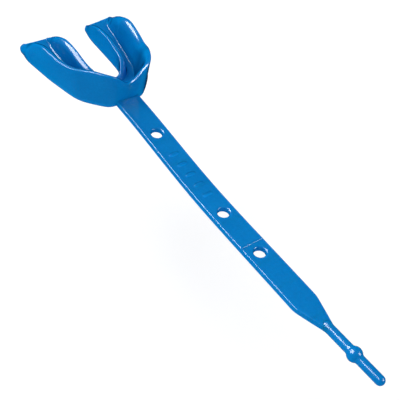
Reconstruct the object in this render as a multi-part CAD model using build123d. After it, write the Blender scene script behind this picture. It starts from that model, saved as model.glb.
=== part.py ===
from build123d import *
import math
import os
from typing import NamedTuple

# Strap-type sports mouthguard: a U-shaped bite tray with a long flat tether strap, three strap
# holes, a round shank, a ball stop and a pull tip. The moulding is split into its working zones
# at the places where it flexes.
# Millimetres. Origin: midline, underside of the tray, in the middle of the front bite floor.
# +X to the right seen from the strap's free end, +Y towards the back of the mouth, +Z towards
# the wall rims. The shapes are laid out from the strap root and moved to the origin on export.

ORIGIN_Y = 10.0              # the origin lies this far behind the strap root

# ---------------------------------------------------------------- tray sizes
FLOOR_T = 3.5
FLOOR_INNER_R = 1.5          # rounding of the floor's underside, tongue side
FLOOR_OUTER_R = 2.6          # and cheek or lip side


class Rim(NamedTuple):
    """Cross-section sizes of a wall rim at full wall height."""
    stand_out: float         # rim face beyond its station line, away from the channel
    width: float
    drop: float              # height of the channel-side rounding
    edge_r: float            # crisp edge away from the channel
    full_height: float       # lower walls have the rim scaled down in proportion


LINGUAL_RIM = Rim(stand_out=0.95, width=3.5, drop=3.4, edge_r=0.32, full_height=4.0)
BUCCAL_RIM = Rim(stand_out=0.95, width=4.4, drop=4.4, edge_r=0.45, full_height=5.0)


class Station(NamedTuple):
    """Cross-section of the tray; "across" is measured from the inner bottom edge outwards."""
    inner_x: float
    inner_y: float
    outer_x: float
    outer_y: float
    outer_rim: float         # across
    outer_rim_z: float
    lingual_rim: float       # across
    lingual_rim_z: float
    lingual_crease: float    # across, where the tongue-side wall meets the floor
    buccal_crease: float     # across, where the outer wall meets the floor
    bulge: float             # of the outer wall's outside face

    @property
    def width(self):
        return math.dist((self.inner_x, self.inner_y), (self.outer_x, self.outer_y))


# Right half of the tray, front midline to arm end; columns as in Station
STATIONS = [Station(*row) for row in (
    (0.00, 17.80, 0.00, 2.29, 17.50, 14.72, 2.66, 7.17, 4.88, 10.68, 0.18),
    (1.23, 18.08, 2.99, 1.72, 18.62, 16.87, 3.03, 6.29, 5.08, 10.78, -0.25),
    (2.41, 18.36, 6.11, 1.68, 19.45, 20.39, 3.14, 6.05, 5.16, 10.56, -0.75),
    (3.55, 18.59, 9.22, 2.31, 19.36, 22.33, 2.90, 6.02, 5.00, 10.00, -1.20),
    (4.84, 18.65, 11.80, 4.15, 17.75, 22.72, 1.97, 7.03, 4.45, 8.85, -1.20),
    (6.72, 20.15, 16.16, 8.72, 14.84, 21.84, 1.15, 9.12, 4.32, 7.92, -1.20),
    (8.04, 22.52, 20.05, 13.85, 13.43, 19.63, 0.91, 10.47, 4.34, 7.54, -1.06),
    (8.74, 25.68, 22.49, 20.31, 13.05, 17.33, 0.92, 11.31, 4.55, 7.65, -0.55),
    (9.03, 30.02, 24.08, 27.08, 13.80, 16.69, 0.92, 12.21, 4.57, 8.17, -0.22),
    (9.17, 35.18, 25.59, 33.91, 14.69, 16.86, 0.97, 13.27, 4.63, 9.13, -0.06),
    (9.21, 40.37, 26.74, 40.96, 15.31, 16.94, 0.96, 13.53, 4.79, 10.09, 0.01),
    (9.25, 45.99, 27.73, 47.60, 15.24, 14.91, 0.93, 13.04, 4.95, 11.15, 0.08),
    (9.28, 51.53, 28.40, 54.35, 15.30, 11.14, 1.39, 11.19, 4.73, 12.13, 0.27),
    (9.70, 57.06, 28.02, 59.71, 15.01, 6.96, 1.63, 8.00, 3.81, 12.21, 0.63),
    (10.48, 61.41, 26.75, 63.03, 14.46, 4.62, 1.55, 4.70, 2.94, 11.14, 0.90),
    (10.69, 62.48, 25.30, 63.49, 13.68, 3.84, 1.43, 4.00, 2.83, 9.83, 0.90),
)]
SPLIT = 7                    # station at which an arm flexes from the front arch

# ---------------------------------------------------------------- flexures
ARM_SWING = 6.0              # splay of each arm, each way, degrees
STRAP_FLEX = 30.0            # bend of each strap flexure, each way, degrees
RELIEF = 1.0                 # spare angle in every flexure relief, degrees
GAP = 0.06                   # slot at a flexure's pivot line
ARM_RELIEF_REACH = 14.0      # arm relief wedges, length from the pivot
ARM_RELIEF_BASE_Z = -1.0
ARM_RELIEF_HEIGHT = 40.0
STRAP_RELIEF_TAN = math.tan(math.radians(STRAP_FLEX / 2 + RELIEF))

# ---------------------------------------------------------------- strap sizes
STRAP_T = 3.2
STRAP_W = 12.3
STRAP_EDGE_R = 0.5           # rounding along the strap's long edges
ROOT_OVERLAP = 6.0           # how far the root block starts inside the tray

# (y, height of the strap's top face relative to the bite floor): the root, then each flexure
STRAP_LINE = ((0.0, 0.65), (-13.5, 0.0), (-38.0, -2.0), (-54.5, -3.3), (-71.0, -4.0),
              (-92.6, -3.95), (-121.0, -3.3), (-138.5, -2.95))
STRAP_YS = [y for y, _ in STRAP_LINE]
LINK_NAMES = ("first_hole_link", "marking_link", "plain_link", "second_hole_link",
              "third_hole_link", "end_link")

HOLE_YS = (-25.75, -81.8, -109.0)
HOLE_R = 3.0
HOLE_RIM_R = 0.4             # rounding of each hole rim
RIB_Y = -103.3               # thin raised line across the strap
RIB_H = 0.2
RIB_W = 0.7

# ---------------------------------------------------------------- taper and tip sizes
TAPER_FLEXURE_Y = STRAP_YS[-1]
SHANK_FLEXURE_Y = -157.5
TAPER_END = -155.0
# (y, half width) of the flat as it narrows to the shank
TAPER_OUTLINE = (
    (TAPER_FLEXURE_Y + 1, STRAP_W / 2), (-139.3, STRAP_W / 2), (-141.2, 5.9), (-143.5, 5.3),
    (-146.0, 4.6), (-149.0, 3.75), (-152.0, 2.85), (TAPER_END, 2.0),
)
PLANFORM_DEPTH = 20.0        # cutting prism of the outline, centred on the flat
SHANK_R = 2.3
SHANK_NOSE = ((-151.5, SHANK_R), (-149.5, 1.9), (-148.0, 0.0))   # (y, radius) inside the flat
BALL_R = 3.45
BALL_Y = -170.3
BALL_OVERLAP = 0.6           # shank and tip reach this far into the ball before it is cut out
TIP_R = 2.25
TIP_END = -186.9
LEAN_ANGLE = 2.6             # lean of the tip towards +X, degrees
LEAN_Y = -141.0              # where the lean starts
LEAN_BLEND = 4.0             # the taper's midline curves into the lean this far each way


# ---------------------------------------------------------------- shared shapes
def bezier(*control, steps):
    """Inner points of a Bezier curve, without its two ends."""
    degree = len(control) - 1
    points = []
    for i in range(1, steps):
        t = i / steps
        weights = [math.comb(degree, j) * (1 - t) ** (degree - j) * t ** j
                   for j in range(degree + 1)]
        points.append(tuple(sum(w * p[axis] for w, p in zip(weights, control))
                            for axis in (0, 1)))
    return points


def arc(center_x, center_z, radius, start, end, steps):
    """Points of an arc, ends included; angles in degrees."""
    angles = [math.radians(start + (end - start) * i / steps) for i in range(steps + 1)]
    return [(center_x + radius * math.cos(a), center_z + radius * math.sin(a)) for a in angles]


def prism(points, direction, length):
    """Closed polygon extruded along a direction."""
    face = Face(Wire.make_polygon([Vector(*p) for p in points], close=True))
    return extrude(face, amount=length, dir=direction)


def strap_prism(points):
    """Side view of (y, z) points extruded over the strap's width."""
    return prism([(-STRAP_W / 2, y, z) for y, z in points], (1, 0, 0), STRAP_W)


def largest(shape):
    return max(shape.solids(), key=lambda solid: solid.volume)


# ---------------------------------------------------------------- tray
# Profiles are closed outlines of (across, z) points. The bare fractions in them place the
# Bezier control points along the wall.
def floor_profile(station):
    width = station.width
    inner_r, outer_r = FLOOR_INNER_R, FLOOR_OUTER_R
    return ([(0.0, FLOOR_T)]
            + arc(inner_r, inner_r, inner_r, 180, 270, 3)
            + arc(width - outer_r, outer_r, outer_r, 270, 352, 4)
            + [(width, FLOOR_T)])


def lingual_profile(station):
    """Tongue-side wall, from its inner face over the rim to the channel."""
    rim, top, crease = LINGUAL_RIM, station.lingual_rim_z, station.lingual_crease
    height = top - FLOOR_T
    rim_line = max(station.lingual_rim, min(rim.stand_out, 0.42 * height, 0.38 * crease))
    shrink = min(1.0, height / rim.full_height)
    edge_r = rim.edge_r * shrink
    face_x = rim_line - rim.stand_out * shrink
    drop = rim.drop * shrink
    # channel side of the rim
    lip_x = face_x + min(rim.width * shrink, 0.8 * (crease - face_x))
    lip_z = top - drop
    rim_start = (face_x + edge_r, top)
    bend = (lip_x + 0.28 * (crease - lip_x), FLOOR_T + 0.32 * (lip_z - FLOOR_T))

    inner_face = bezier((0.0, FLOOR_T), (0.25 * face_x, FLOOR_T + 0.55 * height),
                        (face_x, top - edge_r), steps=3)
    edge = arc(face_x + edge_r, top - edge_r, edge_r, 180, 90, 2)
    rounding = bezier(rim_start, (rim_start[0] + 0.55 * (lip_x - rim_start[0]), top),
                      (lip_x, lip_z + 0.5 * drop), (lip_x, lip_z), steps=5)
    channel_face = bezier((lip_x, lip_z), bend, (crease, FLOOR_T), steps=4)
    return ([(0.0, FLOOR_T)] + inner_face + edge + rounding
            + [(lip_x, lip_z)] + channel_face + [(crease, FLOOR_T)])


def buccal_profile(station):
    """Outer wall, from the channel over the rim to its outside face."""
    rim, top, crease = BUCCAL_RIM, station.outer_rim_z, station.buccal_crease
    width = station.width
    height = top - FLOOR_T
    shrink = min(1.0, height / rim.full_height)
    edge_r = rim.edge_r * shrink
    face_x = station.outer_rim + rim.stand_out
    drop = rim.drop * shrink
    # channel side of the rim
    lip_x = face_x - min(rim.width * shrink, 0.8 * max(0.5, face_x - crease))
    lip_z = top - drop
    rim_end = (face_x - edge_r, top)
    bend = (crease + 0.45 * (lip_x - crease), FLOOR_T + 0.42 * (lip_z - FLOOR_T))
    belly_x = (max(width, face_x) + 0.30 - 0.25 * max(0.0, station.outer_rim - width)
               + station.bulge)

    channel_face = bezier((crease, FLOOR_T), bend, (lip_x, lip_z), steps=4)
    rounding = bezier((lip_x, lip_z), (lip_x + 0.2 * (lip_x - bend[0]), lip_z + 0.5 * drop),
                      (rim_end[0] - 0.55 * (rim_end[0] - lip_x), top), rim_end, steps=5)
    edge = arc(face_x - edge_r, top - edge_r, edge_r, 90, 0, 2)
    outer_face = bezier((face_x, top - edge_r), (belly_x, FLOOR_T + 0.45 * height),
                        (width, FLOOR_T), steps=4)
    return ([(crease, FLOOR_T)] + channel_face + [(lip_x, lip_z)] + rounding + edge
            + outer_face + [(width, FLOOR_T)])


def station_wire(station, profile, side):
    """A station's profile stood up in place, on the side +1 (right) or -1 (left)."""
    across_x = (station.outer_x - station.inner_x) / station.width
    across_y = (station.outer_y - station.inner_y) / station.width
    points = [Vector(side * (station.inner_x + across_x * u), station.inner_y + across_y * u, z)
              for u, z in profile(station)]
    return Wire.make_polygon(points, close=True)


def tray_zone(profile, keys):
    """Loft through (station index, side) keys."""
    wires = [station_wire(STATIONS[i], profile, side) for i, side in keys]
    return Solid.make_loft(wires, ruled=True)


def arm_relief(side):
    """Two wedges that meet at an arm's vertical pivot, mid-channel at the split station."""
    split = STATIONS[SPLIT]
    pivot_x = (split.inner_x + split.outer_x) / 2
    pivot_y = (split.inner_y + split.outer_y) / 2
    across = math.atan2(split.outer_y - split.inner_y, split.outer_x - split.inner_x)
    spread = math.radians(ARM_SWING / 2 + RELIEF)
    wedges = []
    for heading in (across, across + math.pi):
        slot_x = -math.sin(heading) * GAP / 2
        slot_y = math.cos(heading) * GAP / 2
        near_a = (pivot_x + slot_x, pivot_y + slot_y)
        near_b = (pivot_x - slot_x, pivot_y - slot_y)
        far_b, far_a = (
            (x + ARM_RELIEF_REACH * math.cos(angle), y + ARM_RELIEF_REACH * math.sin(angle))
            for (x, y), angle in ((near_b, heading - spread), (near_a, heading + spread)))
        outline = [(side * x, y, ARM_RELIEF_BASE_Z) for x, y in (near_a, near_b, far_b, far_a)]
        wedges.append(prism(outline, (0, 0, 1), ARM_RELIEF_HEIGHT))
    return wedges[0] + wedges[1]


def tray_parts():
    """Floor and two walls, each as a front arch and two arms."""
    left_relief, right_relief = arm_relief(-1), arm_relief(1)
    front_keys = ([(i, -1) for i in range(SPLIT, 0, -1)]
                  + [(i, 1) for i in range(SPLIT + 1)])
    parts = {}
    for name, front_name, profile in (("bite_floor", "front_bite_floor", floor_profile),
                                      ("lingual_wall", "front_lingual_wall", lingual_profile),
                                      ("buccal_wall", "labial_wall", buccal_profile)):
        for side_name, side, relief in (("left", -1, left_relief), ("right", 1, right_relief)):
            arm_keys = [(i, side) for i in range(SPLIT, len(STATIONS))]
            parts[f"{side_name}_{name}"] = tray_zone(profile, arm_keys) - relief
        parts[front_name] = tray_zone(profile, front_keys) - left_relief - right_relief
    return parts


# ---------------------------------------------------------------- strap
def top_z(y):
    """Height of the strap's top face above the tray's underside."""
    for (y0, z0), (y1, z1) in zip(STRAP_LINE, STRAP_LINE[1:]):
        if y1 <= y <= y0:
            return FLOOR_T + z0 + (z1 - z0) * (y0 - y) / (y0 - y1)
    raise ValueError(f"y = {y} lies off the strap")


def mid_z(y):
    return top_z(y) - STRAP_T / 2


def link_direction(y0, y1):
    """Unit (y, z) direction of a link from y0 to y1."""
    rise = mid_z(y1) - mid_z(y0)
    length = math.hypot(y1 - y0, rise)
    return (y1 - y0) / length, rise / length


def flat_link(y0, y1, start_flexes=True):
    """Strap link from y0 to y1, bevelled to a ridge at each flexure."""
    along_y, along_z = link_direction(y0, y1)
    length = math.hypot(y1 - y0, mid_z(y1) - mid_z(y0))
    half = STRAP_T / 2
    bevel = half * STRAP_RELIEF_TAN
    start = GAP / 2 + bevel if start_flexes else 0.0
    end = length - GAP / 2 - bevel

    def at(along, up):
        return (y0 + along_y * along + along_z * up,
                mid_z(y0) + along_z * along - along_y * up)

    start_ridge = [at(GAP / 2, 0.0)] if start_flexes else []
    body = strap_prism([at(start, -half)] + start_ridge
                       + [at(start, half), at(end, half), at(length - GAP / 2, 0.0),
                          at(end, -half)])
    along = Vector(0, along_y, along_z)
    long_edges = [e for e in body.edges()
                  if abs(abs((e @ 1 - e @ 0).normalized().dot(along)) - 1) < 1e-4
                  and e.length > 4]
    return fillet(long_edges, STRAP_EDGE_R)


def cut_hole(body, y, normal):
    """Round hole along the link's normal, with rounded rims."""
    plane = Plane(origin=(0, y, mid_z(y)), x_dir=(1, 0, 0), z_dir=normal)
    body = body - plane * Cylinder(HOLE_R, 4 * STRAP_T)
    rims = [e for e in body.edges()
            if e.geom_type == GeomType.CIRCLE and abs(e.radius - HOLE_R) < 1e-3]
    return fillet(rims, HOLE_RIM_R)


def strap_root(tray_front):
    """Root block: starts inside the tray and is trimmed by it."""
    inner_block = Pos(0, 0, top_z(0) - STRAP_T) * Box(
        STRAP_W, ROOT_OVERLAP, STRAP_T, align=(Align.CENTER, Align.MIN, Align.MIN))
    inner_edges = [e for e in inner_block.edges() if abs((e @ 1 - e @ 0).Y) > 5]
    inner_block = fillet(inner_edges, STRAP_EDGE_R)
    root = flat_link(STRAP_YS[0], STRAP_YS[1], start_flexes=False) + inner_block
    return largest(root - tray_front)


def strap_link(y0, y1):
    """Link with whichever holes and raised line fall on it."""
    link = flat_link(y0, y1)
    along_y, along_z = link_direction(y0, y1)
    for hole_y in HOLE_YS:
        if y1 < hole_y < y0:
            link = cut_hole(link, hole_y, Vector(0, along_z, -along_y))
    if y1 < RIB_Y < y0:
        rib = Box(STRAP_W - 2 * STRAP_EDGE_R, RIB_W, 2 * RIB_H)
        link = link + Pos(0, RIB_Y, top_z(RIB_Y)) * rib
    return link


# ---------------------------------------------------------------- taper and tip
AXIS_Z = mid_z(TAPER_FLEXURE_Y)    # height of the shank's axis
SHANK_BEVEL = SHANK_R * STRAP_RELIEF_TAN
BALL_REACH = math.sqrt(BALL_R ** 2 - SHANK_R ** 2) - BALL_OVERLAP


def lean_offset(y):
    """Sideways offset of the taper's midline."""
    past = LEAN_Y - y
    slope = math.tan(math.radians(LEAN_ANGLE))
    if past <= -LEAN_BLEND:
        return 0.0
    if past > LEAN_BLEND:
        return slope * past
    return slope * (past + LEAN_BLEND) ** 2 / (4 * LEAN_BLEND)


def leaned(shape):
    return Pos(0, LEAN_Y, 0) * Rot(0, 0, LEAN_ANGLE) * Pos(0, -LEAN_Y, 0) * shape


def turned(points):
    """Solid turned about the shank's axis from (y, radius) points."""
    face = Face(Wire.make_polygon([Vector(0, y, AXIS_Z + r) for y, r in points], close=True))
    return revolve(face, Axis((0, 0, AXIS_Z), (0, 1, 0)), 360)


def taper_link():
    """Flat narrowing to the shank, with the round shank growing out of it."""
    half = STRAP_T / 2
    ridge_y = TAPER_FLEXURE_Y - GAP / 2
    bevel_y = ridge_y - half * STRAP_RELIEF_TAN
    blade = strap_prism([(bevel_y, AXIS_Z - half), (ridge_y, AXIS_Z), (bevel_y, AXIS_Z + half),
                         (TAPER_END, AXIS_Z + half), (TAPER_END, AXIS_Z - half)])
    base_z = AXIS_Z - PLANFORM_DEPTH / 2
    outline = [(lean_offset(y) - half_w, y, base_z) for y, half_w in TAPER_OUTLINE]
    outline += [(lean_offset(y) + half_w, y, base_z) for y, half_w in reversed(TAPER_OUTLINE)]
    flat = blade & prism(outline, (0, 0, 1), PLANFORM_DEPTH)
    rod_y = SHANK_FLEXURE_Y + GAP / 2
    rod = turned([(rod_y, 0.0), (rod_y + SHANK_BEVEL, SHANK_R), *SHANK_NOSE])
    return largest(flat + leaned(rod))


def stop_ball():
    return Pos(0, BALL_Y, AXIS_Z) * Sphere(BALL_R)


def tip_shank():
    start_y = SHANK_FLEXURE_Y - GAP / 2
    end_y = BALL_Y + BALL_REACH
    return turned([(start_y, 0.0), (start_y - SHANK_BEVEL, SHANK_R),
                   (end_y, SHANK_R), (end_y, 0.0)]) - stop_ball()


def pull_tip():
    """Round rod with a domed end."""
    start_y = BALL_Y - BALL_REACH
    angles = [math.radians(a) for a in range(0, 90, 15)]
    dome = [(TIP_END + TIP_R - TIP_R * math.sin(a), TIP_R * math.cos(a)) for a in angles]
    return turned([(start_y, 0.0), (start_y, TIP_R)] + dome + [(TIP_END, 0.0)]) - stop_ball()


# ---------------------------------------------------------------- build and export
parts = tray_parts()
parts["strap_root"] = strap_root(parts["front_bite_floor"] + parts["labial_wall"])
for name, y0, y1 in zip(LINK_NAMES, STRAP_YS[1:], STRAP_YS[2:]):
    parts[name] = strap_link(y0, y1)
parts["taper_link"] = taper_link()
parts["tip_shank"] = leaned(tip_shank())
parts["pull_tip"] = leaned(pull_tip())
parts["stop_ball"] = leaned(stop_ball())

os.makedirs("parts", exist_ok=True)
for name, shape in parts.items():
    solids = (Pos(0, -ORIGIN_Y, 0) * shape).solids()
    piece = Compound(children=list(solids)) if len(solids) > 1 else solids[0]
    export_step(piece, f"parts/{name}.step")
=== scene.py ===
"""Blue EVA bite tray with a long flat strap that ends in a round shank, a ball and a pull tip.

The tray is a U in plan, symmetric about x = 0. Its channel opens upwards (+Z), its front faces -Y
and its arms run towards +Y. The strap leaves the front and runs towards -Y.
Shapes are worked out in millimetres with y = 0 at the strap's root; to_frame() turns them into
the frame's metres.
"""
import math

import bpy
import numpy as np
from mathutils import Matrix, Vector


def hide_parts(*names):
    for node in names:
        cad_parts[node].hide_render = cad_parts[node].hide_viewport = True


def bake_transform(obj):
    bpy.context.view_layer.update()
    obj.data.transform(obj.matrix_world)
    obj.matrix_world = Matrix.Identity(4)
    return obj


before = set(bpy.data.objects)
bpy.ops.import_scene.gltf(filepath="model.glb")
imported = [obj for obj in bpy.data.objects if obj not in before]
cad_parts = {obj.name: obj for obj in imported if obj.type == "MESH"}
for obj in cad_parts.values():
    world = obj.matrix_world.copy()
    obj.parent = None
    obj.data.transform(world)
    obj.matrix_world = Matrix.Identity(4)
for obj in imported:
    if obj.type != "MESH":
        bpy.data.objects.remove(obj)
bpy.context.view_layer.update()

MM = 0.001
ORIGIN_Y = 10.0          # the frame's origin lies this far behind the strap's root

# ------------------------------------------------------------------ tray sizes (mm)
FLOOR_T = 3.5            # height of the channel floor above the underside
RIM_R = 0.95             # from a rim's measured line to its outer face
END_R = 0.4              # rounding of the arms' ends
HALF_ROWS = 92           # sections from the middle to an arm's end, both included

# Right half of the tray, from the middle of the front to the arm's end.
# u is the distance across the tray from its inner (tongue side) edge.
STATIONS = (
    # inner edge   outer edge    outer rim     inner rim   channel floor  outer wall
    # x     y      x      y      u      z      u     z     from u  to u   bulge
    (0.00, 17.80, 0.00, 2.29, 17.50, 14.72, 2.66, 7.17, 4.88, 10.68, 0.18),
    (1.23, 18.08, 2.99, 1.72, 18.62, 16.87, 3.03, 6.29, 5.08, 10.78, -0.25),
    (2.41, 18.36, 6.11, 1.68, 19.45, 20.39, 3.14, 6.05, 5.16, 10.56, -0.75),
    (3.55, 18.59, 9.22, 2.31, 19.36, 22.33, 2.90, 6.02, 5.00, 10.00, -1.20),
    (4.84, 18.65, 11.80, 4.15, 17.75, 22.72, 1.97, 7.03, 4.45, 8.85, -1.20),
    (6.72, 20.15, 16.16, 8.72, 14.84, 21.84, 1.15, 9.12, 4.32, 7.92, -1.20),
    (8.04, 22.52, 20.05, 13.85, 13.43, 19.63, 0.91, 10.47, 4.34, 7.54, -1.06),
    (8.74, 25.68, 22.49, 20.31, 13.05, 17.33, 0.92, 11.31, 4.55, 7.65, -0.55),
    (9.03, 30.02, 24.08, 27.08, 13.80, 16.69, 0.92, 12.21, 4.57, 8.17, -0.22),
    (9.17, 35.18, 25.59, 33.91, 14.69, 16.86, 0.97, 13.27, 4.63, 9.13, -0.06),
    (9.21, 40.37, 26.74, 40.96, 15.31, 16.94, 0.96, 13.53, 4.79, 10.09, 0.01),
    (9.25, 45.99, 27.73, 47.60, 15.24, 14.91, 0.93, 13.04, 4.95, 11.15, 0.08),
    (9.28, 51.53, 28.40, 54.35, 15.30, 11.14, 1.39, 11.19, 4.73, 12.13, 0.27),
    (9.70, 57.06, 28.02, 59.71, 15.01, 6.96, 1.63, 8.00, 3.81, 12.21, 0.35),
    (10.48, 61.41, 26.75, 63.03, 14.46, 4.62, 1.55, 4.70, 2.94, 11.14, 0.35),
    (10.69, 62.48, 25.30, 63.49, 13.68, 3.84, 1.43, 4.00, 2.83, 9.83, 0.30),
)

# soft ridge up the outside of the front wall, above the strap's root
RIDGE_H = 1.0
RIDGE_HALF_W = 4.6
RIDGE_FROM_Z = 2.5
RIDGE_RISE = 1.5         # it reaches its full height over this
RIDGE_LENGTH = 11.0

# ------------------------------------------------------------------ strap sizes (mm)
STRAP_T = 3.2
HALF_T = STRAP_T / 2
STRAP_W = 12.3
EDGE_R = 0.40
SEAM_H = 0.11            # fine ridge along the middle of each side
CORNER_STEPS = 6
TOP_STEPS = 28           # steps across the flat top face, and along each hole's patch
SIDE_POINTS = 4
TOP_FIRST = SIDE_POINTS + CORNER_STEPS   # place of the top face's first point in a section

# (y, height of the strap's top face above the channel floor)
STRAP_SET = (
    (0.0, 0.65), (-13.5, 0.0), (-38.0, -2.0), (-54.5, -3.3), (-71.0, -4.0),
    (-92.6, -3.95), (-121.0, -3.3), (-138.5, -2.95), (-157.5, -2.8), (-200.0, -2.8),
)
TAPER_Y = -139.0
# (distance from the root, half width)
TAPER = (
    (-TAPER_Y, STRAP_W / 2), (141.2, 5.9), (143.5, 5.3), (146.0, 4.6),
    (149.0, 3.75), (152.0, 2.85), (155.0, 2.0), (157.0, 1.5),
)

HOLE_Y = (-25.75, -81.8, -109.0)
HOLE_R = 2.75
HOLE_RIM = 1.05          # rounding of a hole's edge
HOLE_HALF = 5.0          # half length of the patch round a hole

LINE_Y = -103.3          # raised line across the top face
LINE_H = 0.32
LINE_OFFSETS = (-0.32, -0.16, 0.0, 0.16, 0.32)

PAD_Y = tuple(-41.0 - 7.0 * i for i in range(5))   # low pads on the top face
PAD_HALF_X = 2.5
PAD_HALF_Y = 1.0
PAD_H = 0.22
PAD_POWER = 2.6          # roundness of the pads' outline
PAD_BLEND = 0.2          # the pads' slope reaches this far to each side of the outline
PAD_MIN_Z = -1.0         # the top face lies above this beside the pads, the underside below

ROOT_FROM = 0.2          # fillet between the strap's top face and the front wall
ROOT_R = 2.0

LEAN_DEGREES = 2.6       # the tip leans slightly towards +X
LEAN_FROM = -141.0
LEAN_EASE = 4.0          # the lean eases in over this length on each side

ROD_START = -151.2
ROD_DOME = 3.2           # length of the domed start
ROD_R = 2.3
BALL_R = 3.45
BALL_Y = -170.3
TIP_R = 2.25
TIP_END = -186.9

STRAP_PIECES = (
    # starts at y, bends from y to y, CAD pieces it stands for
    (4.5, -7.0, -20.0, ("strap_root", "first_hole_link")),
    (-31.2, -31.6, -44.4, ("marking_link",)),
    (-46.2, -47.6, -61.4, ("plain_link",)),
    (-62.7, -65.4, -76.6, ("second_hole_link",)),
    (-87.1, -87.6, -97.6, ("third_hole_link",)),
    (-114.4, -115.2, -126.8, ("end_link",)),
    (-128.8, -131.5, -145.5, ("taper_link",)),
    (-148.3, -153.5, -161.5, ("tip_shank", "stop_ball", "pull_tip")),
)
STRAP_END = -156.4
CUTS = [piece[0] for piece in STRAP_PIECES] + [STRAP_END]


# ------------------------------------------------------------------ curves
def spline(xs, ys):
    """Natural cubic spline through the points, as a function."""
    xs = np.array(xs, float)
    ys = np.array(ys, float)
    count = len(xs)
    gaps = np.diff(xs)
    system = np.zeros((count, count))
    rhs = np.zeros(count)
    system[0, 0] = system[-1, -1] = 1.0
    for i in range(1, count - 1):
        system[i, i - 1:i + 2] = gaps[i - 1], 2 * (gaps[i - 1] + gaps[i]), gaps[i]
        rhs[i] = 6 * ((ys[i + 1] - ys[i]) / gaps[i] - (ys[i] - ys[i - 1]) / gaps[i - 1])
    bends = np.linalg.solve(system, rhs)

    def at(x):
        x = np.asarray(x, float)
        k = np.clip(np.searchsorted(xs, x) - 1, 0, count - 2)
        after = xs[k + 1] - x
        before = x - xs[k]
        gap = gaps[k]
        return ((bends[k] * after ** 3 + bends[k + 1] * before ** 3) / (6 * gap)
                + (ys[k] / gap - bends[k] * gap / 6) * after
                + (ys[k + 1] / gap - bends[k + 1] * gap / 6) * before)
    return at


def arc(centre_x, centre_z, radius, start, end, steps):
    """Arc between two angles in degrees."""
    angles = np.radians(np.linspace(start, end, steps + 1))
    return np.stack([centre_x + radius * np.cos(angles), centre_z + radius * np.sin(angles)], -1)


def bezier(steps, *points):
    """Bezier curve with the given control points; two points make a straight line."""
    t = np.linspace(0, 1, steps + 1)[:, None]
    degree = len(points) - 1
    return sum(math.comb(degree, k) * (1 - t) ** (degree - k) * t ** k * np.array(point, float)
               for k, point in enumerate(points))


def join(*runs):
    """One polyline from runs that share their end points."""
    return np.concatenate([runs[0]] + [run[1:] for run in runs[1:]])


# ------------------------------------------------------------------ surfaces
def to_frame(points):
    """Metres in the frame, from millimetres at the strap's root."""
    return (np.asarray(points) - (0.0, ORIGIN_Y, 0.0)) * MM


def area_vector(corners):
    """Normal of one face, twice as long as its area."""
    total = np.zeros(3)
    for i in range(1, len(corners) - 1):
        total += np.cross(corners[i] - corners[0], corners[i + 1] - corners[0])
    return total


def vertex_normals(points, faces):
    """Area-weighted vertex normals."""
    normals = np.zeros_like(points)
    for face in faces:
        vector = area_vector(points[list(face)])
        for i in face:
            normals[i] += vector
    lengths = np.linalg.norm(normals, axis=1)
    lengths[lengths < 1e-12] = 1.0
    return normals / lengths[:, None]


def inside_out(points, faces):
    """True if the faces of a closed surface point inwards."""
    total = 0.0
    for face in faces:
        for i in range(1, len(face) - 1):
            cross = np.cross(points[face[i]], points[face[i + 1]])
            total += np.dot(points[face[0]], cross) / 6
    return total < 0


def flipped(faces):
    return [face[::-1] for face in faces]


def band(loop, following):
    """Faces between two closed loops of equally many vertices."""
    faces = []
    for k in range(len(loop)):
        k2 = (k + 1) % len(loop)
        faces.append((loop[k], loop[k2], following[k2], following[k]))
    return faces


def ladder(loop, near_count, flip):
    """Faces across a closed section whose first near_count points are its near side."""
    count = len(loop)
    near = loop[:near_count]
    far = [loop[0]] + [loop[count - i] for i in range(1, near_count - 1)] + [near[-1]]
    faces = []
    for i in range(near_count - 1):
        # dict.fromkeys drops the shared corner of the end triangles
        face = tuple(dict.fromkeys((near[i], near[i + 1], far[i + 1], far[i])))
        faces.append(face[::-1] if flip else face)
    return faces


def part_of(points, normals, sides, ends):
    """The part of a surface that the given side and end faces use, renumbered."""
    used = sorted({i for face in sides + ends for i in face})
    index = {old: new for new, old in enumerate(used)}
    sides = [tuple(index[i] for i in face) for face in sides]
    ends = [tuple(index[i] for i in face) for face in ends]
    return points[used], normals[used], sides, ends


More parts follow.
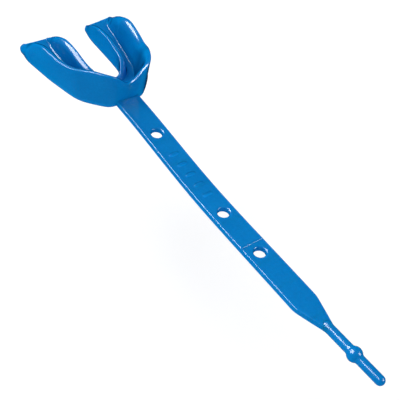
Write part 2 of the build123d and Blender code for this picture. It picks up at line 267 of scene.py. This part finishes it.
def make_piece(name, material, *surfaces):
    """Object from surfaces (points, normals, smooth faces, flat faces).

    Shading normals come from the uncut surfaces, so no seam shows between neighbours.
    """
    points, faces, corner_normals, flat = [], [], [], []
    for part_points, normals, sides, ends in surfaces:
        base = len(points)
        points.extend(part_points.tolist())
        for face in sides:
            faces.append([base + i for i in face])
            corner_normals += [tuple(normals[i]) for i in face]
        for face in ends:
            flat.append(len(faces))
            faces.append([base + i for i in face])
            vector = area_vector(part_points[list(face)])
            normal = tuple(vector / (np.linalg.norm(vector) + 1e-15))
            corner_normals += [normal] * len(face)

    mesh = bpy.data.meshes.new(name)
    placed = to_frame(points)
    mesh.from_pydata(placed.tolist(), [], faces)
    mesh.polygons.foreach_set("use_smooth", [True] * len(mesh.polygons))
    mesh.update(calc_edges=True)
    sharp = np.zeros(len(mesh.edges), bool)
    loop_edges = np.zeros(len(mesh.loops), np.int32)
    mesh.loops.foreach_get("edge_index", loop_edges)
    for k in flat:
        face = mesh.polygons[k]
        sharp[loop_edges[face.loop_start:face.loop_start + face.loop_total]] = True
    sharp_edge = (mesh.attributes.get("sharp_edge")
                  or mesh.attributes.new("sharp_edge", "BOOLEAN", "EDGE"))
    sharp_edge.data.foreach_set("value", sharp)
    mesh.normals_split_custom_set(corner_normals)
    # textures stay on the surface when the piece bends
    rest = mesh.attributes.new("rest", "FLOAT_VECTOR", "POINT")
    rest.data.foreach_set("vector", placed.astype(np.float32).ravel())
    # painted light and shade per point, for the material to multiply into the colour
    painted_shading = mesh.attributes.new("painted_shading", "FLOAT", "POINT")
    painted_shading.data.foreach_set("value", np.array([painted_light_and_shade(*p) for p in points], np.float32))
    mesh.materials.append(material)
    piece = bpy.data.objects.new(name, mesh)
    bpy.context.scene.collection.objects.link(piece)
    return piece


def pad_height(x, y):
    """Height of the low pads on the strap's top face."""
    for pad_y in PAD_Y:
        reach = (abs(x / PAD_HALF_X) ** PAD_POWER
                 + abs((y - pad_y) / PAD_HALF_Y) ** PAD_POWER) ** (1 / PAD_POWER)
        outside = (reach - 1) * PAD_HALF_Y
        if outside < PAD_BLEND:
            t = min(1.0, (PAD_BLEND - outside) / (2 * PAD_BLEND))
            return PAD_H * t * t * (3 - 2 * t)
    return 0.0


def painted_light_and_shade(x, y, z):
    """Painted light (towards 1) or painted shade (towards -1) in the colour at a point."""
    # painted highlight line along the tray's lower edge, and painted shade on the underside
    if y > 1.0 and z < 3.0 and (y > 5.5 or abs(x) > 6.6):
        return 0.75 * math.exp(-((z - 2.0) / 0.4) ** 2) - 0.6 * max(0.0, min(1.0, (1.5 - z) / 0.5))
    # painted light patch above the strap's root
    if -4.0 < y < 5.0 and z > 2.0 and abs(x) < 14:
        fade = min(1.0, (y + 4.0) / 3.0)
        return 0.85 * fade * math.exp(-(x / 6.0) ** 2) * math.exp(-((z - 5.5) / 3.5) ** 2)
    if z <= PAD_MIN_Z:
        return 0.0
    # painted light and painted shade on the pads' sides, from their diagonal slope
    step = 0.3
    slope = pad_height(x + step, y + step) - pad_height(x - step, y - step)
    return max(-1.0, min(1.0, slope / PAD_H))


# ------------------------------------------------------------------ materials
# sockets of a colour Mix node, whose names are not unique
MIX_A = 6
MIX_B = 7
MIX_RESULT = 2


def add_node(tree, kind, inputs, **settings):
    """Shader node; an input is given a value or is linked to another node's output."""
    node = tree.nodes.new("ShaderNode" + kind)
    for name, value in settings.items():
        setattr(node, name, value)
    for socket, value in inputs.items():
        if isinstance(value, bpy.types.NodeSocket):
            tree.links.new(value, node.inputs[socket])
        else:
            node.inputs[socket].default_value = value
    return node


def map_range(tree, value, to, source=(0.0, 1.0)):
    """Output that maps value from the source range to another range."""
    return add_node(tree, "MapRange", {
        "Value": value, "From Min": source[0], "From Max": source[1],
        "To Min": to[0], "To Max": to[1]}).outputs["Result"]


def noise(tree, vector, scale, detail):
    return add_node(tree, "TexNoise", {
        "Vector": vector, "Scale": scale, "Detail": detail, "Roughness": 0.5}).outputs["Fac"]


def two_tone(tree, factor, low, high):
    """Colour ramp between two (position, colour) stops."""
    ramp = add_node(tree, "ValToRGB", {"Fac": factor})
    for element, (position, color) in zip(ramp.color_ramp.elements, (low, high)):
        element.position = position
        element.color = color
    return ramp.outputs["Color"]


def mix_color(tree, color_a, color_b, factor=1.0, blend="MIX"):
    return add_node(tree, "Mix", {"Factor": factor, MIX_A: color_a, MIX_B: color_b},
                    data_type="RGBA", blend_type=blend).outputs[MIX_RESULT]


def new_material(name):
    """Material with an empty tree, and the tree."""
    material = bpy.data.materials.new(name)
    material.use_nodes = True
    material.node_tree.nodes.clear()
    return material, material.node_tree


def finish_surface(tree, inputs):
    bsdf = add_node(tree, "BsdfPrincipled", inputs)
    add_node(tree, "OutputMaterial", {"Surface": bsdf.outputs["BSDF"]})


def eva_material():
    """Glossy moulded EVA: cloudy blue with a faint ripple, with painted light and shade from a
    per-point attribute and painted shade at grazing angles.
    """
    material, tree = new_material("eva_blue")
    rest = add_node(tree, "Attribute", {}, attribute_name="rest").outputs["Vector"]
    facing = add_node(tree, "LayerWeight", {"Blend": 0.5}).outputs["Facing"]

    # base colour: clouds, then grain, then painted light and shade from the per-point attribute,
    # then painted shade at grazing angles
    cloud = noise(tree, rest, scale=38.0, detail=3.0)
    blue = two_tone(tree, cloud,
                    low=(0.3, (0.0002, 0.169, 0.478, 1)),
                    high=(0.72, (0.0004, 0.196, 0.531, 1)))
    grain = map_range(tree, noise(tree, rest, scale=900.0, detail=2.0),
                      source=(0.25, 0.75), to=(0.94, 1.06))
    color = mix_color(tree, blue, grain, blend="MULTIPLY")
    # painted shade: dark outlines mixed into the colour at grazing view angles
    painted_rim_shade = map_range(tree, facing, source=(0.6, 0.9), to=(0.0, 0.95))
    # painted light and shade from the per-point attribute brightens or darkens the colour
    painted_shading = add_node(tree, "Attribute", {}, attribute_name="painted_shading").outputs["Fac"]
    lift = map_range(tree, painted_shading, source=(-1.0, 1.0), to=(0.72, 1.28))
    color = mix_color(tree, color, lift, blend="MULTIPLY")
    color = mix_color(tree, color, (0.0001, 0.024, 0.100, 1), factor=painted_rim_shade)

    # the skin keeps its gloss face on and turns satin towards grazing angles
    satin_view = (0.36, 0.56)
    roughness = map_range(tree, cloud, to=(0.14, 0.19))
    gloss = map_range(tree, facing, source=satin_view, to=(0.3, 0.008))
    coat = map_range(tree, facing, source=satin_view, to=(0.1, 0.0))

    ripple = add_node(tree, "Bump", {
        "Strength": 0.04,
        "Distance": 0.0004,
        "Height": noise(tree, rest, scale=160.0, detail=1.0),
    })
    skin = add_node(tree, "Bump", {
        "Strength": 0.03,
        "Distance": 0.0001,
        "Height": noise(tree, rest, scale=2600.0, detail=2.0),
        "Normal": ripple.outputs["Normal"],
    })
    finish_surface(tree, {
        "Base Color": color,
        "Roughness": roughness,
        "IOR": 1.45,
        "Specular IOR Level": gloss,
        "Coat Weight": coat,
        "Coat Roughness": 0.14,
        "Subsurface Weight": 0.35,
        "Subsurface Radius": (0.4, 0.8, 1.0),
        "Subsurface Scale": 0.004,
        "Normal": skin.outputs["Normal"],
    })
    return material


def paper_material():
    """Pale studio paper with a barely visible mottling."""
    material, tree = new_material("studio_paper")
    place = add_node(tree, "TexCoord", {}).outputs["Object"]
    mottling = noise(tree, place, scale=6.0, detail=3.0)
    finish_surface(tree, {
        "Base Color": two_tone(tree, mottling,
                               low=(0.0, (0.975, 0.975, 0.977, 1)),
                               high=(1.0, (0.985, 0.985, 0.985, 1))),
        "Roughness": 0.9,
        "Specular IOR Level": 0.1,
    })
    return material


# ------------------------------------------------------------------ tray
def tray_profile(width, outer_u, outer_z, inner_u, inner_z, floor_from, floor_to, bulge):
    """Lower and upper side of one section, as (u, z) from the inner rim top to the outer one.

    The lower side goes round the underside, the upper side through the channel.
    """
    outer_h = outer_z - FLOOR_T
    inner_h = inner_z - FLOOR_T
    inner_u = max(inner_u, min(RIM_R, 0.42 * inner_h, 0.38 * floor_from))

    # the rims: broad rounding on the channel side, crisp edge on the other side;
    # both get smaller where the walls are low
    outer_size = min(1.0, outer_h / 5.0)
    inner_size = min(1.0, inner_h / 4.0)
    outer_face = outer_u + RIM_R
    inner_face = inner_u - RIM_R * inner_size
    outer_lip = outer_face - min(4.4 * outer_size, 0.8 * max(0.5, outer_face - floor_to))
    inner_lip = inner_face + min(3.5 * inner_size, 0.8 * (floor_from - inner_face))
    outer_drop = 4.4 * outer_size     # depth of the channel-side rounding
    inner_drop = 3.4 * inner_size
    outer_edge = 0.45 * outer_size    # radius of the crisp edge
    inner_edge = 0.32 * inner_size

    # lower side
    outer_foot = 2.3                  # rounding between the walls and the underside
    inner_foot = 1.3
    inner_foot_z = 1.6
    flare = 0.12                      # the outer wall starts this far outside the section
    belly = max(width, outer_face) + 0.30 - 0.25 * max(0.0, outer_u - width) + bulge
    lower = join(
        arc(inner_face + inner_edge, inner_z - inner_edge, inner_edge, 90, 180, 6),
        bezier(16, (inner_face, inner_z - inner_edge),
               (0.25 * inner_face, FLOOR_T + 0.55 * inner_h), (0.0, inner_foot_z)),
        bezier(6, (0.0, inner_foot_z), (0.0, 0.0), (inner_foot, 0.0)),
        bezier(12, (inner_foot, 0.0), (width - outer_foot, 0.0)),
        bezier(8, (width - outer_foot, 0.0), (width + 0.05, 0.0), (width + flare, outer_foot)),
        bezier(20, (width + flare, outer_foot), (belly, FLOOR_T + 0.45 * outer_h),
               (outer_face, outer_z - outer_edge)),
        arc(outer_face - outer_edge, outer_z - outer_edge, outer_edge, 0, 90, 6))

    # upper side: wall_* is where a rim's rounding meets its wall, bend_* bows the wall,
    # crease_* is the size of the rounding between wall and floor
    floor_w = floor_to - floor_from
    inner_crease = min(0.7, 0.3 * inner_h, 0.3 * floor_w)
    outer_crease = min(0.6, 0.3 * outer_h, 0.3 * floor_w)
    inner_wall = np.array((inner_lip, inner_z - inner_drop))
    outer_wall = np.array((outer_lip, outer_z - outer_drop))
    inner_corner = np.array((floor_from, FLOOR_T))
    outer_corner = np.array((floor_to, FLOOR_T))
    inner_bend = np.array((inner_lip + 0.28 * (floor_from - inner_lip),
                           FLOOR_T + 0.32 * (inner_h - inner_drop)))
    outer_bend = np.array((floor_to + 0.45 * (outer_lip - floor_to),
                           FLOOR_T + 0.42 * (outer_h - outer_drop)))

    def towards(start, end):
        return (end - start) / np.linalg.norm(end - start)

    inner_foot_point = inner_corner + towards(inner_corner, inner_bend) * inner_crease
    outer_foot_point = outer_corner + towards(outer_corner, outer_bend) * outer_crease
    floor_start = inner_corner + np.array((inner_crease, 0.0))
    floor_end = outer_corner - np.array((outer_crease, 0.0))
    inner_top = np.array((inner_face + inner_edge, inner_z))
    outer_top = np.array((outer_face - outer_edge, outer_z))
    upper = join(
        bezier(12, inner_top,
               inner_top + np.array((0.55 * (inner_lip - inner_face - inner_edge), 0.0)),
               inner_wall + towards(inner_bend, inner_wall) * 0.5 * inner_drop, inner_wall),
        bezier(10, inner_wall, inner_bend, inner_foot_point),
        bezier(6, inner_foot_point, inner_corner, floor_start),
        bezier(12, floor_start, floor_end),
        bezier(8, floor_end, outer_corner, outer_foot_point),
        bezier(14, outer_foot_point, outer_bend, outer_wall),
        bezier(12, outer_wall, outer_wall + towards(outer_bend, outer_wall) * 0.5 * outer_drop,
               outer_top - np.array((0.55 * (outer_face - outer_edge - outer_lip), 0.0)),
               outer_top))
    return lower, upper


def shrink(lower, upper, amount):
    """Section drawn in towards its own middle line, rims included."""
    middle = (lower + upper) / 2
    half = np.linalg.norm(lower - upper, axis=1) / 2
    factor = np.clip(1 - amount / np.maximum(half, 1e-6), 0.25, 1.0)[:, None]
    run = np.concatenate([[0], np.cumsum(np.linalg.norm(np.diff(middle, axis=0), axis=1))])
    pull = np.zeros_like(middle)
    rim_reach = 2.0      # length of middle line that is drawn away from each rim
    look = 1.2           # how far along the line the direction of the pull is taken
    for from_rim, step in ((run, look), (run[-1] - run, -look)):
        for k in np.flatnonzero(from_rim < rim_reach):
            goal = np.array([np.interp(run[k] + step, run, middle[:, axis]) for axis in (0, 1)])
            way = goal - middle[k]
            way = way / (np.linalg.norm(way) + 1e-9)
            pull[k] += way * amount * (1 - from_rim[k] / rim_reach)
    return middle + (lower - middle) * factor + pull, middle + (upper - middle) * factor + pull


def place_section(inner, across, lower, upper, shift=(0.0, 0.0)):
    """Closed section in space: lower side first, then back along the upper side."""
    loop = np.concatenate([lower, upper[-2:0:-1]])
    plan = inner + np.outer(loop[:, 0], across) + shift
    return np.column_stack([plan, loop[:, 1]])


def rounded_end(inner, across, lower, upper):
    """Sections that round off an arm's end, outwards from the last full one."""
    outwards = np.array((-across[1], across[0])) * np.sign(across[0])
    sections = []
    for degrees in (22.5, 45, 67.5, 90):
        angle = math.radians(degrees)
        smaller = shrink(lower, upper, END_R * (1 - math.cos(angle)) * 0.75)
        sections.append(place_section(inner, across, *smaller,
                                      shift=outwards * END_R * math.sin(angle)))
    return sections


def raise_ridge(points):
    """Move lower-side points of the front wall out into the soft ridge."""
    for point in points:
        x, y, z = point
        above = z - RIDGE_FROM_Z
        if y < 12 and abs(x) < 13 and above > 0:
            rise = min(1.0, above / RIDGE_RISE) * max(0.0, 1 - above / RIDGE_LENGTH) ** 1.5
            point[1] -= RIDGE_H * math.exp(-(x / RIDGE_HALF_W) ** 2) * rise


def tray_sections():
    """Every section from the left arm's end to the right one's, and the lower side's count."""
    stations = np.array(STATIONS)
    centres = (stations[:, 0:2] + stations[:, 2:4]) / 2
    lengths = np.linalg.norm(np.diff(centres, axis=0), axis=1)
    half_run = np.concatenate([[0], np.cumsum(lengths)])
    run = np.concatenate([-half_run[:0:-1], half_run])
    columns = []
    for k, values in enumerate(stations.T):
        mirror = -1.0 if k in (0, 2) else 1.0      # the x columns change sign on the left
        columns.append(spline(run, np.concatenate([mirror * values[:0:-1], values])))

    half_grid = np.linspace(0, half_run[-1], HALF_ROWS)
    flat_sections = []
    for place in np.concatenate([-half_grid[:0:-1], half_grid]):
        values = [float(column(place)) for column in columns]
        inner = np.array(values[0:2])
        outer = np.array(values[2:4])
        width = np.linalg.norm(outer - inner)
        profile = tray_profile(width, *values[4:])
        flat_sections.append((inner, (outer - inner) / width, *profile))

    lower_count = len(flat_sections[0][2])
    body = [place_section(*section) for section in flat_sections]
    for section in body:
        raise_ridge(section[:lower_count])
    left_end = rounded_end(*flat_sections[0])[::-1]
    right_end = rounded_end(*flat_sections[-1])
    return np.array(left_end + body + right_end), lower_count


def build_tray(material):
    """The tray, cut in two halves at x = 0."""
    sections, lower_count = tray_sections()
    row_count, loop_count = sections.shape[:2]
    points = sections.reshape(-1, 3)
    loops = [list(range(r * loop_count, (r + 1) * loop_count)) for r in range(row_count)]

    def faces_between(first, last, turned):
        sides = [face for r in range(first, last) for face in band(loops[r], loops[r + 1])]
        ends = (ladder(loops[first], lower_count, not turned)
                + ladder(loops[last], lower_count, turned))
        return flipped(sides) if turned else sides, ends

    last_row = row_count - 1
    middle_row = last_row // 2
    sides, ends = faces_between(0, last_row, False)
    turned = inside_out(points, sides + ends)
    sides, ends = faces_between(0, last_row, turned)
    normals = vertex_normals(points, sides + ends)

    halves = (
        ("left", -1, 0, middle_row, ("front_bite_floor", "labial_wall", "front_lingual_wall")),
        ("right", 1, middle_row, last_row, ()),
    )
    for side, sign, first, last, front_stands in halves:
        part = part_of(points, normals, *faces_between(first, last, turned))
        half = make_piece("tray_%s_half" % side, material, part)
        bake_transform(half)
        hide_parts(side + "_bite_floor", side + "_buccal_wall", side + "_lingual_wall",
                    *front_stands)


# ------------------------------------------------------------------ strap
middle_z = spline([-y for y, _ in STRAP_SET], [FLOOR_T + top - HALF_T for _, top in STRAP_SET])
taper_half_width = spline(*zip(*TAPER))


def half_width(y):
    return STRAP_W / 2 if y > TAPER_Y else float(taper_half_width(-y))


def strap_middle(y):
    """Mid-plane point of the strap at y, without the tip's lean."""
    return np.array((0.0, y, float(middle_z(-y))))


def lean(y):
    """Sideways offset of the strap's midline near the tip."""
    past = LEAN_FROM - y
    if past <= -LEAN_EASE:
        return 0.0
    slope = math.tan(math.radians(LEAN_DEGREES))
    if past > LEAN_EASE:
        return slope * past
    return slope * (past + LEAN_EASE) ** 2 / (4 * LEAN_EASE)


def strap_point(x, y, height):
    """Point at x across the strap and at a height above its mid-plane."""
    slope = float(middle_z(-y + 0.5) - middle_z(-y - 0.5))
    normal = np.array((0.0, slope, 1.0))
    normal = normal / np.linalg.norm(normal)
    return strap_middle(y) + np.array((x + lean(y), 0.0, 0.0)) + normal * height


def strap_section(half_w, lift):
    """(x, height) round a section, and the upper side's count.

    It goes from the left middle over the top to the right middle and back underneath.
    lift raises the top face.
    """
    flat_w = half_w - EDGE_R
    flat_h = HALF_T - EDGE_R
    right = np.array([(half_w, 0.5 * flat_h + 0.1), (half_w, 0.22),
                      (half_w + 0.8 * SEAM_H, 0.10), (half_w + SEAM_H, 0.0)])
    left = right[::-1] * (-1, 1)
    over = join(arc(-flat_w, flat_h, EDGE_R, 180, 90, CORNER_STEPS),
                bezier(TOP_STEPS, (-flat_w, HALF_T), (flat_w, HALF_T)),
                arc(flat_w, flat_h, EDGE_R, 90, 0, CORNER_STEPS))
    upper = np.concatenate([left, over, right])
    lower = upper[::-1] * (1, -1)
    upper[:, 1] += lift * np.clip((upper[:, 1] - 0.25) / (HALF_T - 0.25), 0, 1)
    return np.concatenate([upper, lower[1:-1]]), len(upper)


def row_step(y):
    """Largest distance between rows: finer at the root, the pads and the taper."""
    if y > -6:
        return 0.3
    if -75.5 < y < -38:
        return 0.25
    return 0.8 if y > -137 else 0.6


def rows_between(start, end):
    """Rows from one cut to the next, with fixed rows at the holes and the cross line."""
    marks = {round(start, 4), round(end, 4)}
    for hole_y in HOLE_Y:
        if end < hole_y < start:
            patch = np.linspace(hole_y - HOLE_HALF, hole_y + HOLE_HALF, TOP_STEPS + 1)
            marks |= {round(y, 4) for y in patch}
    for offset in LINE_OFFSETS:
        if end < LINE_Y + offset < start:
            marks.add(round(LINE_Y + offset, 4))
    marks = sorted(marks, reverse=True)
    rows = [marks[0]]
    for a, b in zip(marks, marks[1:]):
        count = max(1, int(math.ceil((a - b) / row_step(b) - 1e-6)))
        rows += [a + (b - a) * k / count for k in range(1, count + 1)]
    return rows


def top_lift(y):
    """Rise of the whole top face: the fillet at the root and the raised cross line."""
    lift = 0.0
    past = y - ROOT_FROM
    if past > 0:
        lift = ROOT_R - math.sqrt(ROOT_R ** 2 - min(past, ROOT_R * 0.97) ** 2)
    from_line = abs(y - LINE_Y)
    if from_line < LINE_H - 0.01:
        lift += LINE_H - from_line
    return lift


def nearest_row(rows, y):
    return min(range(len(rows)), key=lambda r: abs(rows[r] - y))


def hole_rings(border):
    """(plan, height) rings from the patch's border on top, through the hole, to the underside."""
    angles = np.arctan2(border[:, 1], border[:, 0])
    circle = np.stack([np.cos(angles), np.sin(angles)], -1)
    outer = HOLE_R + HOLE_RIM
    rings = [(border * (1 - t) + circle * outer * t, HALF_T) for t in (0.35, 0.65, 0.85, 1.0)]
    for degrees in (12, 24, 36, 48, 60, 70, 80, 90):
        angle = math.radians(degrees)
        rings.append((circle * (outer - HOLE_RIM * math.sin(angle)),
                      HALF_T - HOLE_RIM * (1 - math.cos(angle))))
    rings.append((circle * (HOLE_R - 0.01), 0.3))
    rings.append((circle * (HOLE_R - 0.02), 0.0))
    return rings + [(plan, -height) for plan, height in rings[-2::-1]]


def strap_surface():
    """The whole flat strap: points, faces, each face's y, rows, section loops, upper count."""
    rows = [CUTS[0]]
    for start, end in zip(CUTS, CUTS[1:]):
        rows += rows_between(start, end)[1:]
    points, loops = [], []
    for y in rows:
        section, upper_count = strap_section(half_width(y), top_lift(y))
        base = len(points)
        for x, height in section:
            if height > HALF_T - 0.01:
                height += pad_height(x, y)
            points.append(strap_point(x, y, height))
        loops.append(list(range(base, len(points))))

    count = len(loops[0])
    top_last = TOP_FIRST + TOP_STEPS
    top = range(TOP_FIRST, top_last + 1)
    bottom = range(count - top_last, count - TOP_FIRST + 1)
    patches = [(hole_y, nearest_row(rows, hole_y + HOLE_HALF),
                nearest_row(rows, hole_y - HOLE_HALF)) for hole_y in HOLE_Y]
    faces, faces_y = [], []
    for r in range(len(rows) - 1):
        at_hole = any(first <= r < last for _, first, last in patches)
        for k, face in enumerate(band(loops[r], loops[r + 1])):
            in_patch = (k in top and k + 1 in top) or (k in bottom and k + 1 in bottom)
            if not (at_hole and in_patch):
                faces.append(face)
                faces_y.append(rows[r + 1])

    for hole_y, first, last in patches:
        # (row, place in section) round the patch
        border = ([(first, k) for k in top] + [(r, top_last) for r in range(first + 1, last + 1)]
                  + [(last, k) for k in top[-2::-1]]
                  + [(r, TOP_FIRST) for r in range(last - 1, first, -1)])
        flat_w = STRAP_W / 2 - EDGE_R
        plan_border = np.array([(flat_w * (2 * (k - TOP_FIRST) / TOP_STEPS - 1), rows[r] - hole_y)
                                for r, k in border])
        rings = [[loops[r][k] for r, k in border]]
        for plan, height in hole_rings(plan_border):
            base = len(points)
            points += [strap_point(x, hole_y + y, height) for x, y in plan]
            rings.append(list(range(base, len(points))))
        rings.append([loops[r][count - k] for r, k in border])
        for ring, following in zip(rings, rings[1:]):
            faces += band(ring, following)
            faces_y += [hole_y] * len(ring)
    return np.array(points), faces, faces_y, rows, loops, upper_count


def rod_profile():
    """(y, radius) of the shank with its domed start, the ball and the pull tip."""
    profile = [(ROD_START, 0.0)]
    for degrees in (8, 18, 30, 42, 55, 68, 80, 90):
        angle = math.radians(degrees)
        profile.append((ROD_START - ROD_DOME * (1 - math.cos(angle)), ROD_R * math.sin(angle)))
    # at each neck the cylinder stops short of the ball and a slope bridges the gap
    neck_y = 0.45
    neck_r = 0.22
    shank_end = BALL_Y + math.sqrt(BALL_R ** 2 - ROD_R ** 2) + neck_y
    profile += [(float(y), ROD_R) for y in np.linspace(ROD_START - ROD_DOME - 0.9, shank_end, 14)]
    ball_from = math.asin((ROD_R + neck_r) / BALL_R)
    ball_to = math.pi - math.asin((TIP_R + neck_r) / BALL_R)
    profile += [(BALL_Y + BALL_R * math.cos(angle), BALL_R * math.sin(angle))
                for angle in np.linspace(ball_from, ball_to, 22)]
    tip_start = BALL_Y - math.sqrt(BALL_R ** 2 - TIP_R ** 2) - neck_y
    dome_y = TIP_END + TIP_R
    profile += [(float(y), TIP_R) for y in np.linspace(tip_start, dome_y, 9)]
    for degrees in (12, 24, 36, 48, 60, 72, 82):
        angle = math.radians(degrees)
        profile.append((dome_y - TIP_R * math.sin(angle), TIP_R * math.cos(angle)))
    profile.append((TIP_END, 0.0))
    return profile


def rod_surface(segments=40):
    """Closed turned surface along the leaning axis of the strap's tip."""
    profile = rod_profile()
    axis_z = float(middle_z(-STRAP_SET[-2][0]))
    cos_lean = math.cos(math.radians(LEAN_DEGREES))
    sin_lean = math.sin(math.radians(LEAN_DEGREES))
    points = [(lean(ROD_START), ROD_START, axis_z)]
    rings = []
    for y, radius in profile[1:-1]:
        rings.append(list(range(len(points), len(points) + segments)))
        for k in range(segments):
            angle = 2 * math.pi * k / segments
            side = radius * math.cos(angle)
            points.append((lean(y) + side * cos_lean, y + side * sin_lean,
                           axis_z + radius * math.sin(angle)))
    last = len(points)
    points.append((lean(TIP_END), TIP_END, axis_z))
    faces = []
    for k in range(segments):
        k2 = (k + 1) % segments
        faces.append((0, rings[0][k], rings[0][k2]))
        for a, b in zip(rings, rings[1:]):
            faces.append((a[k], b[k], b[k2], a[k2]))
        faces.append((rings[-1][k], last, rings[-1][k2]))
    points = np.array(points)
    if inside_out(points, faces):
        faces = flipped(faces)
    return points, vertex_normals(points, faces), faces, []


def build_strap(material):
    """The strap, cut into pieces that each stand for one or more links of the chain."""
    points, faces, faces_y, rows, loops, upper_count = strap_surface()
    ends = ladder(loops[0], upper_count, False) + ladder(loops[-1], upper_count, True)
    turned = inside_out(points, faces + ends)
    if turned:
        faces = flipped(faces)
    normals = vertex_normals(points, faces)

    for i, (start, bend_from, bend_to, stands) in enumerate(STRAP_PIECES):
        end = CUTS[i + 1]
        is_tip = i == len(STRAP_PIECES) - 1
        sides = [face for face, y in zip(faces, faces_y) if end - 1e-6 <= y < start - 1e-6]
        ends = (ladder(loops[nearest_row(rows, start)], upper_count, turned)
                + ladder(loops[nearest_row(rows, end)], upper_count, not turned))
        surfaces = [part_of(points, normals, sides, ends)]
        if is_tip:
            surfaces.append(rod_surface())
        name = "strap_tip_piece" if is_tip else "strap_piece_%d" % (i + 1)
        piece = make_piece(name, material, *surfaces)
        tuple(to_frame(strap_middle(bend_from)))
        tuple(to_frame(strap_middle(bend_to)))
        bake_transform(piece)
        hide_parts(*stands)


# ------------------------------------------------------------------ stage, light, camera (m)
FLOOR_Z = -0.10          # low enough for the strap to hang freely when bent
FLOOR_HALF = 5
LIGHT_TARGET = (0, -0.05, 0)
LIGHT_DISTANCE = 1.3


def build_floor(material):
    mesh = bpy.data.meshes.new("floor")
    corners = [(x * FLOOR_HALF, y * FLOOR_HALF, FLOOR_Z)
               for x, y in ((-1, -1), (1, -1), (1, 1), (-1, 1))]
    mesh.from_pydata(corners, [], [(0, 1, 2, 3)])
    floor = bpy.data.objects.new("floor", mesh)
    mesh.materials.append(material)
    bpy.context.scene.collection.objects.link(floor)
    floor.visible_glossy = False


def build_world():
    """White world that lights the part a little less than it shows to the camera."""
    world = bpy.data.worlds.new("studio")
    bpy.context.scene.world = world
    world.use_nodes = True
    tree = world.node_tree
    background = tree.nodes["Background"]
    background.inputs["Color"].default_value = (1.0, 1.0, 1.0, 1)
    seen = add_node(tree, "LightPath", {}).outputs["Is Camera Ray"]
    tree.links.new(map_range(tree, seen, to=(0.80, 0.99)), background.inputs["Strength"])
    world.cycles_visibility.glossy = False
    world.cycles.sampling_method = "NONE"


def place_light(data, direction, location=(0, 0, 0)):
    """Light object that shines from a direction."""
    light = bpy.data.objects.new(data.name, data)
    light.location = location
    light.rotation_mode = "QUATERNION"
    light.rotation_quaternion = (-direction).to_track_quat("-Z", "Y")
    bpy.context.scene.collection.objects.link(light)
    return light


def add_softbox(name, direction, power, size, size_y=None):
    """Area light that only makes reflections; square unless size_y is given."""
    data = bpy.data.lights.new(name, "AREA")
    data.energy = power
    data.size = size
    if size_y:
        data.shape = "RECTANGLE"
        data.size_y = size_y
    direction = Vector(direction).normalized()
    light = place_light(data, direction, Vector(LIGHT_TARGET) + direction * LIGHT_DISTANCE)
    light.visible_diffuse = False


def add_sun():
    """Wide soft sun from above, behind and to the left, without reflections."""
    data = bpy.data.lights.new("overhead_soft", "SUN")
    data.energy = 1.35
    data.angle = 0.9
    sun = place_light(data, Vector((-0.38, 0.58, 0.75)).normalized())
    sun.visible_glossy = False


def add_camera():
    """Camera in front and to the left, looking down along the strap."""
    data = bpy.data.cameras.new("camera")
    data.lens = 78.635
    data.sensor_width = 36.0
    data.clip_start = 0.01
    data.clip_end = 20.0
    camera = bpy.data.objects.new("camera", data)
    bpy.context.scene.collection.objects.link(camera)
    right = Vector((0.81699982, -0.56855243, 0.09622592))
    up = Vector((0.36639327, 0.64069716, 0.67473189))
    back = Vector((-0.44527213, -0.5159993, 0.73176325))
    rotation = Matrix((right, up, back)).transposed().to_4x4()
    camera.matrix_world = Matrix.Translation(Vector((-0.18285, -0.2863, 0.2916))) @ rotation
    bpy.context.scene.camera = camera


eva = eva_material()
paper = paper_material()
build_tray(eva)
build_strap(eva)
build_floor(paper)
build_world()
add_sun()
add_softbox("back_left_softbox", (-0.42, 0.53, 0.73), power=85.0, size=1.15, size_y=1.10)
add_softbox("front_right_softbox", (0.53, -0.70, 0.47), power=20.0, size=0.60)
bpy.context.scene.view_settings.view_transform = "Standard"
bpy.context.scene.view_settings.look = "None"
add_camera()
